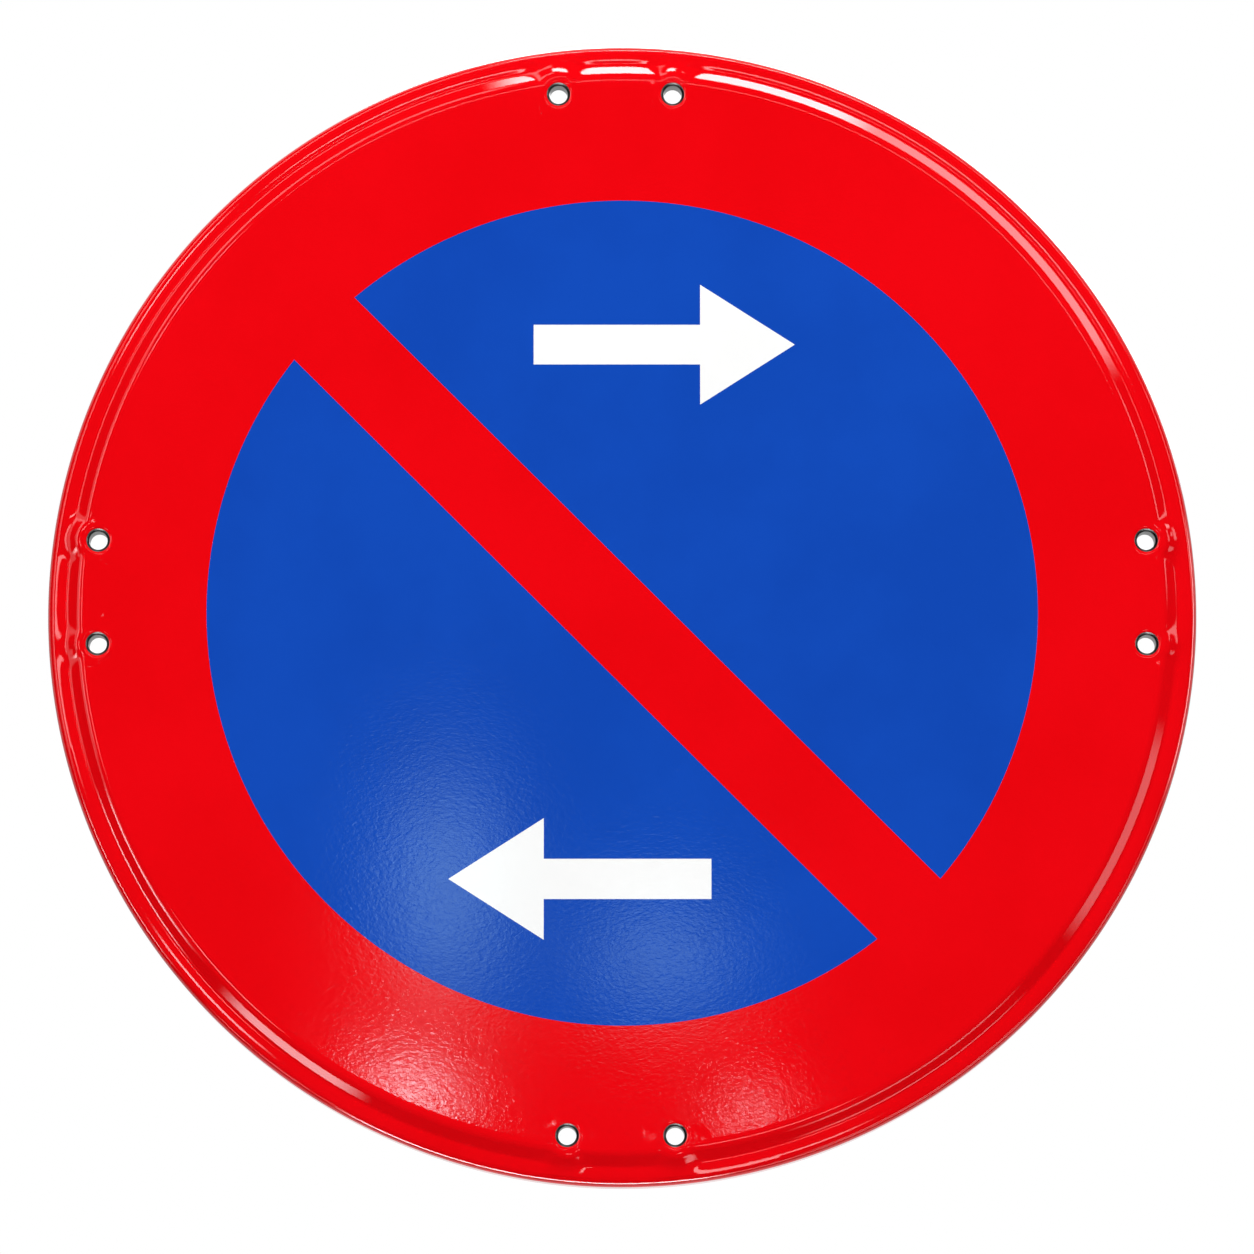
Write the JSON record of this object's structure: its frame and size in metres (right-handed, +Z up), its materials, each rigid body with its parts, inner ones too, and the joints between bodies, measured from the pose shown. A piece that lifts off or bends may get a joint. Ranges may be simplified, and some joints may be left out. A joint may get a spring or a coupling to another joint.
{
  "type": "round no parking sign",
  "caption": "Round pressed-steel no parking sign with a stepped rim, skirt and drawn fixing holes, faced with red, blue and white sheeting with a slanting bar and two arrows.",
  "frame": {"origin": "centre of the sign on the plate's flat back face", "axes": "+Z is up as the sign is fixed, the face looks towards -Y, and +X is to the right as the sign is read"},
  "size_m": [0.6005, 0.0273, 0.6006],
  "materials": {
    "galvanised_steel": "bare hot-dip galvanised sheet, satin with a faint spangle",
    "red_sheeting": "glossy red reflective sheeting with a fine orange peel",
    "blue_sheeting": "glossy blue reflective sheeting with a fine orange peel",
    "white_sheeting": "glossy white reflective sheeting with a fine orange peel"
  },
  "bodies": {
    "root": {"sign_plate": "galvanised_steel", "red_sheeting": "red_sheeting", "blue_field_upper": "blue_sheeting", "blue_field_lower": "blue_sheeting", "upper_arrow": "white_sheeting", "lower_arrow": "white_sheeting"}
  },
  "joints": []
}
